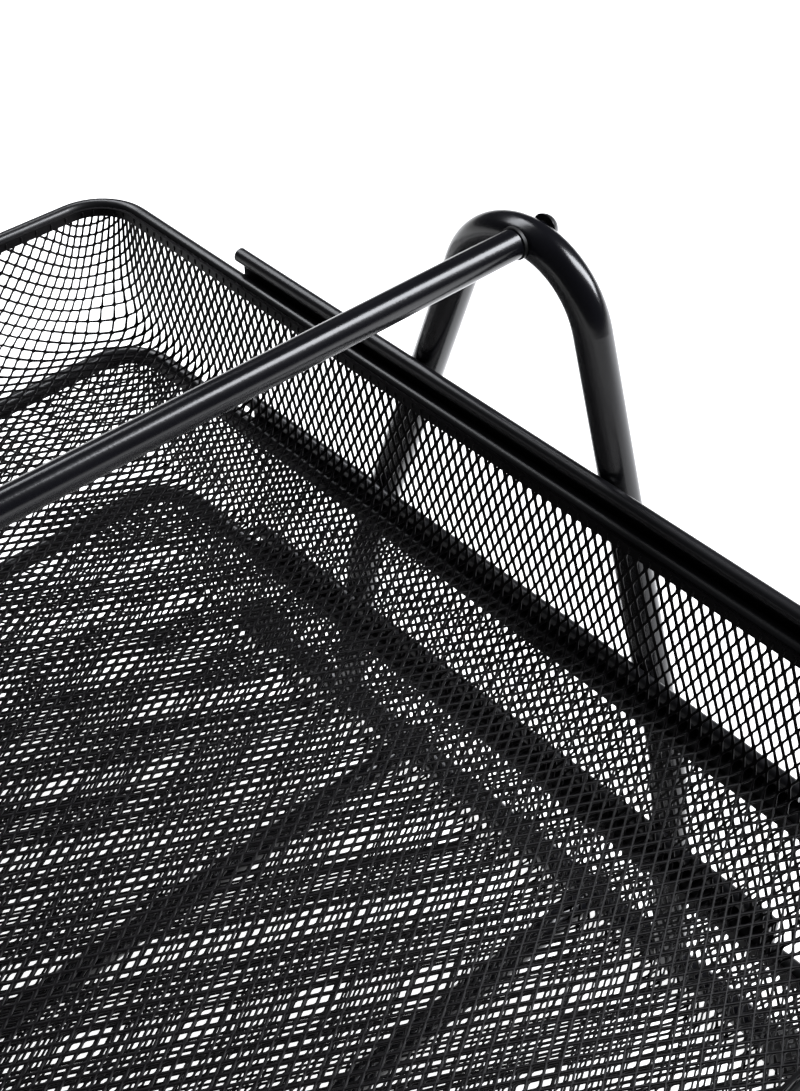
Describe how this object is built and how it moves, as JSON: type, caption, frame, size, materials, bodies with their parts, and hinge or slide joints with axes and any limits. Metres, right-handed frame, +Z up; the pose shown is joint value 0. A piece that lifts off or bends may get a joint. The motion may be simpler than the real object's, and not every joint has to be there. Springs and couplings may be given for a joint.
{
  "type": "letter tray",
  "caption": "Stacked desk letter tray: expanded-mesh trays slide in channel rails on a tube stand with arched sides and a carrying handle bar.",
  "frame": {"origin": "at floor level, under the centre of the bounding box at rest", "axes": "+X to the stand's right along the handle bar, +Y to the rear along the rails, +Z up"},
  "size_m": [0.2868, 0.354, 0.2189],
  "materials": {
    "tube_coat": "semi-gloss black powder coat on steel tube",
    "rail_coat": "semi-gloss black powder coat on folded steel strip",
    "rim_coat": "satin black powder coat on steel wire",
    "mesh_coat": "satin black powder coat on expanded steel mesh",
    "plug_plastic": "moulded black plastic",
    "screw_black": "black oxide steel",
    "foot_cap_rubber": "matt black soft plastic"
  },
  "bodies": {
    "stand": {"right_arch": "tube_coat", "left_arch": "tube_coat", "right_base_bar": "tube_coat", "left_base_bar": "tube_coat", "right_top_rail": "rail_coat", "left_top_rail": "rail_coat", "right_middle_rail": "rail_coat", "left_middle_rail": "rail_coat", "right_bottom_rail": "rail_coat", "left_bottom_rail": "rail_coat", "right_front_foot_cap": "foot_cap_rubber", "right_rear_foot_cap": "foot_cap_rubber", "left_front_foot_cap": "foot_cap_rubber", "left_rear_foot_cap": "foot_cap_rubber", "handle_bar": "tube_coat", "right_handle_plug": "plug_plastic", "left_handle_plug": "plug_plastic", "handle_screws": "screw_black", "front_crossbar": "tube_coat", "rear_crossbar": "tube_coat", "crossbar_plugs": "plug_plastic", "crossbar_screws": "screw_black"},
    "top_tray": {"top_tray_basket": "mesh_coat", "top_tray_rim": "rim_coat", "top_tray_hem": "mesh_coat"},
    "middle_tray": {"middle_tray_basket": "mesh_coat", "middle_tray_rim": "rim_coat", "middle_tray_hem": "mesh_coat"},
    "bottom_tray": {"bottom_tray_basket": "mesh_coat", "bottom_tray_rim": "rim_coat", "bottom_tray_hem": "mesh_coat"}
  },
  "joints": [
    {"name": "top_tray_slide", "type": "slide", "parent": "stand", "child": "top_tray", "axis": [0, -1, 0], "range_m": [-0.2, 0.2]},
    {"name": "middle_tray_slide", "type": "slide", "parent": "stand", "child": "middle_tray", "axis": [0, -1, 0], "range_m": [-0.2, 0.2]},
    {"name": "bottom_tray_slide", "type": "slide", "parent": "stand", "child": "bottom_tray", "axis": [0, -1, 0], "range_m": [-0.2, 0.2]}
  ]
}
